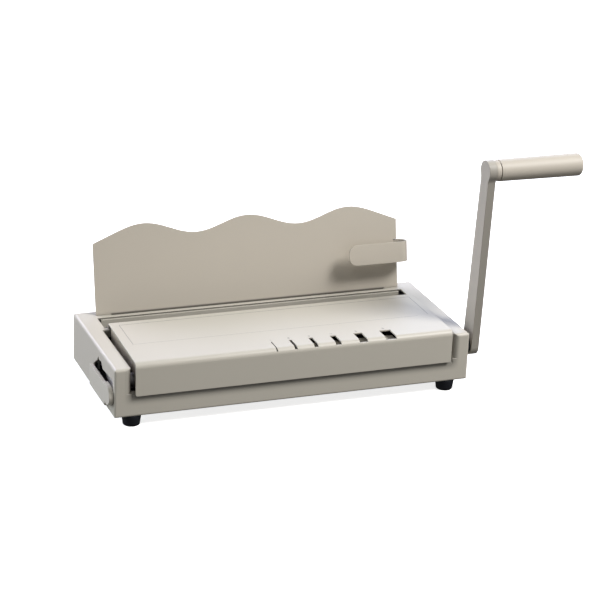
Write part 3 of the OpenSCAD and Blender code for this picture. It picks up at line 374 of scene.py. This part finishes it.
primer = coatedMaterial("framePrimer", (0.37, 0.37, 0.365), (0.33, 0.33, 0.325),
                        (0.36, 0.36, 0.36), primerSet)
# painted light: the left side frame gets a much lighter copy of the primer, so its face seen through
# the wall opening reads as lit
litPrimer = coatedMaterial("framePrimerLit", (0.80, 0.80, 0.77), (0.76, 0.76, 0.73),
                            (0.80, 0.80, 0.78), {**primerSet, "shadeAmount": 0.0})
gripSet = {"roughness": 0.52, "grainScale": 1700.0, "edgeRadius": 0.0003, "bump": 0.12,
           "wear": 0.10, "dust": 0.02, "slow": 30.0, "shadeAmount": 0.12}
gripPlastic = coatedMaterial("gripPlastic", (0.545, 0.497, 0.418), (0.525, 0.477, 0.398),
                             (0.70, 0.65, 0.57), gripSet)
rubberSet = {"roughness": 0.62, "grainScale": 900.0, "edgeRadius": 0.0004, "bump": 0.35,
             "wear": 0.30, "dust": 0.05, "slow": 60.0, "specular": 0.35}
rubber = coatedMaterial("footRubber", (0.007, 0.008, 0.013), (0.010, 0.011, 0.016),
                        (0.05, 0.05, 0.055), rubberSet)
steel = metalMaterial("groundSteel", (0.50, 0.50, 0.51),
                      {"lines": (60.0, 1600.0, 1600.0), "grainScale": 800.0,
                       "edgeRadius": 0.0004, "roughLow": 0.28, "roughHigh": 0.46})
darkSteel = metalMaterial("blackSteel", (0.085, 0.085, 0.09),
                          {"lines": (90.0, 1200.0, 1200.0), "grainScale": 800.0,
                           "edgeRadius": 0.0004, "roughLow": 0.38, "roughHigh": 0.55})
zinc = metalMaterial("zincPlate", (0.60, 0.60, 0.57),
                     {"lines": (500.0, 500.0, 500.0), "grainScale": 900.0,
                      "edgeRadius": 0.0003, "roughLow": 0.22, "roughHigh": 0.38})
brass = metalMaterial("bushBrass", (0.55, 0.41, 0.18),
                      {"lines": (200.0, 900.0, 900.0), "grainScale": 900.0,
                       "edgeRadius": 0.0003, "roughLow": 0.3, "roughHigh": 0.5})

bySlot = {"paint_beige": paint, "plate_beige": platePaint, "frame_grey": primer,
          "steel_bright": steel, "steel_dark": darkSteel, "zinc": zinc, "brass": brass,
          "grip_plastic": gripPlastic, "foot_rubber": rubber}
byNode = {"housing": shellPaint, "lever_arm": armPaint, "grip_collar": gripPlastic,
          "pull_tab": litTabPaint, "gauge_stop": litStopPaint, "side_frame_left": litPrimer,
          "cover_bracket_left": shadedBracketPaint, "cover_bracket_right": shadedBracketPaint}
for part in frame["record"]["subparts"]:
    obj = nodes[part["node"]]
    obj.data.materials.clear()
    obj.data.materials.append(byNode.get(part["node"], bySlot[part["material_slot"]]))


# Softer edges on the cast and moulded pieces.
print("stage: soft edges")
softEdges = {"lever_arm": {"width": 0.0014, "segments": 3},
             "pull_tab": {"width": 0.0007, "segments": 2},
             "feet": {"width": 0.0010, "segments": 3},
             "grip_collar": {"width": 0.0008, "segments": 2},
             "side_clip": {"width": 0.0004, "segments": 2}}
for name, edge in softEdges.items():
    obj = nodes[name]
    weld = obj.modifiers.new("weld", "WELD")
    weld.merge_threshold = 0.00001
    bevel = obj.modifiers.new("soft", "BEVEL")
    bevel.width, bevel.segments = edge["width"], edge["segments"]
    bevel.limit_method, bevel.angle_limit = "ANGLE", math.radians(40.0)
    bevel.use_clamp_overlap = True
    normals = obj.modifiers.new("normals", "WEIGHTED_NORMAL")
    normals.keep_sharp = False
    normals.weight = 80


# Printed lines and plain slot numbers on the cover.
print("stage: printing")
printSet = {"top": 69.2, "lift": 0.05, "line": 0.32, "fine": 0.22,   # heights and line widths
            "left": -157.5, "right": 163.0, "rear": 98.6, "middle": 46.0,
            "slant": 0.6, "past": 2.0, "short": 12.0,   # how the lines' ends miss the corners
            "slotX": (-22.4, -2.15, 19.7, 43.75, 71.0, 101.1), "digitY": 22.0,
            "digit": (1.5, 2.6)}
inkSet = {"roughness": 0.5, "grainScale": 1500.0, "edgeRadius": 0.0001, "bump": 0.05,
          "wear": 0.0, "dust": 0.02, "shadeAmount": 0.0}
ink = coatedMaterial("printInk", (0.075, 0.072, 0.068), (0.10, 0.095, 0.09),
                     (0.10, 0.10, 0.10), inkSet)
paleInk = coatedMaterial("printPale", (0.30, 0.28, 0.25), (0.34, 0.32, 0.285),
                         (0.34, 0.32, 0.29), inkSet)


def strokeQuads(strokes, width, height):
    # each stroke a-b becomes the flat quad a +- n, b +- n, with n the unit normal times width / 2,
    # and both ends go half a width further
    ends = np.asarray(strokes, float).reshape(-1, 2, 2)
    along = ends[:, 1] - ends[:, 0]
    along /= np.linalg.norm(along, axis=1, keepdims=True)
    side = np.stack([-along[:, 1], along[:, 0]], -1) * width / 2
    grow = along * width / 2
    corners = np.stack([ends[:, 0] - side - grow, ends[:, 1] - side + grow,
                        ends[:, 1] + side + grow, ends[:, 0] + side - grow], 1).reshape(-1, 2)
    points = np.column_stack([corners, np.full(len(corners), height)])
    return place(points), np.arange(len(points)).reshape(-1, 4).tolist()


def digitStrokes(digit, x, y, size):
    # seven-bar figure: bars numbered top, upper right, lower right, bottom, lower left, upper left,
    # middle
    w, h = size[0] / 2, size[1] / 2
    bars = [((-w, h), (w, h)), ((w, h), (w, 0)), ((w, 0), (w, -h)), ((w, -h), (-w, -h)),
            ((-w, -h), (-w, 0)), ((-w, 0), (-w, h)), ((-w, 0), (w, 0))]
    used = {1: (1, 2), 2: (0, 1, 6, 4, 3), 3: (0, 1, 6, 2, 3), 4: (5, 6, 1, 2),
            5: (0, 5, 6, 2, 3), 6: (0, 5, 4, 3, 2, 6)}[digit]
    return [[(x + p[0], y + p[1]) for p in bars[i]] for i in used]


def makePrint(name, strokes, width, material):
    points, faces = strokeQuads(strokes, width, printSet["top"] + printSet["lift"])
    obj = newObject(name, points, faces)
    obj.data.materials.append(material)
    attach(obj, "machine")
    return obj


def printCover(s):
    rearLeft, rearRight = (s["left"], s["rear"]), (s["right"], s["rear"])
    middleLeft = (s["left"] - s["slant"], s["middle"])
    middleRight = (s["right"] - s["short"], s["middle"])
    sideEnd = (s["right"], s["middle"] + s["past"])
    makePrint("printFrame", [(rearLeft, rearRight), (rearRight, sideEnd), (rearLeft, middleLeft)],
              s["line"], ink)
    makePrint("printMiddle", [(middleLeft, middleRight)], s["fine"], paleInk)
    figures = []
    for number, slotX in enumerate(s["slotX"], 1):
        figures += digitStrokes(number, slotX, s["digitY"], s["digit"])
    makePrint("printNumbers", figures, s["fine"], ink)


printCover(printSet)


# Floor and light.
print("stage: floor and light")
floorSet = {"reach": 14.0, "color": (0.93, 0.925, 0.90, 1.0), "roughness": 0.9,
            "specular": 0.2, "glow": 0.75}
worldSet = {"color": (1.0, 1.0, 1.0, 1.0), "strength": 0.150}


def makeFloor(s):
    # square sheet at height zero, pale and slightly glowing, kept out of the part's reflections
    material, tree, shader = newMaterial("floorPale")
    shader.inputs["Base Color"].default_value = s["color"]
    shader.inputs["Roughness"].default_value = s["roughness"]
    shader.inputs["Specular IOR Level"].default_value = s["specular"]
    shader.inputs["Emission Color"].default_value = (1.0, 1.0, 1.0, 1.0)
    shader.inputs["Emission Strength"].default_value = s["glow"]
    corners = np.array([(-1, -1, 0), (1, -1, 0), (1, 1, 0), (-1, 1, 0)]) * s["reach"]
    floor = newObject("floor", corners, [(0, 1, 2, 3)])
    floor.data.materials.append(material)
    floor.visible_diffuse = floor.visible_glossy = False


def makeWorld(s):
    world = bpy.data.worlds.new("world")
    world.use_nodes = True
    background = world.node_tree.nodes["Background"]
    background.inputs["Color"].default_value = s["color"]
    background.inputs["Strength"].default_value = s["strength"]
    bpy.context.scene.world = world


makeFloor(floorSet)
makeWorld(worldSet)
bpy.context.scene.view_settings.view_transform = "Standard"


def areaLight(name, at, aim, size, power, color):
    data = bpy.data.lights.new(name, "AREA")
    data.shape, data.size, data.size_y = "RECTANGLE", size[0], size[1]
    data.energy, data.color = power, color
    lamp = bpy.data.objects.new(name, data)
    lamp.location = at
    lamp.rotation_mode = "QUATERNION"
    lamp.rotation_quaternion = (Vector(aim) - Vector(at)).to_track_quat("-Z", "Y")
    bpy.context.scene.collection.objects.link(lamp)
    return lamp


lights = [
    {"name": "keySoft", "at": (1.05, -0.86, 1.62), "aim": (0.0, 0.0, 0.08), "size": (0.7, 0.7),
     "power": 41.5, "color": (0.995, 0.99, 1.0)},
    {"name": "frontSoft", "at": (-0.70, -0.90, 1.65), "aim": (0.0, 0.0, 0.08), "size": (0.9, 0.9),
     "power": 3.0, "color": (1.0, 0.99, 1.0)},
    {"name": "lowFill", "at": (-0.3, -2.6, 0.55), "aim": (0.0, 0.0, 0.08), "size": (1.2, 0.8),
     "power": 4.6, "color": (1.0, 1.0, 1.0)},
    {"name": "rearLeftSoft", "at": (-1.0, 1.5, 1.1), "aim": (0.0, 0.0, 0.08),
     "size": (1.2, 1.0), "power": 31.0, "color": (0.80, 0.78, 1.0)},
    {"name": "rearRightSoft", "at": (1.0, 1.5, 1.1), "aim": (0.0, 0.0, 0.08),
     "size": (1.2, 1.0), "power": 12.0, "color": (0.63, 0.74, 1.0)},
    {"name": "leftFill", "at": (-2.0, 0.50, 0.75), "aim": (0.0, 0.0, 0.08), "size": (1.3, 1.1),
     "power": 23.0, "color": (0.86, 0.94, 1.0)},
]
for lamp in lights:
    areaLight(**lamp)

print("stage: finish")
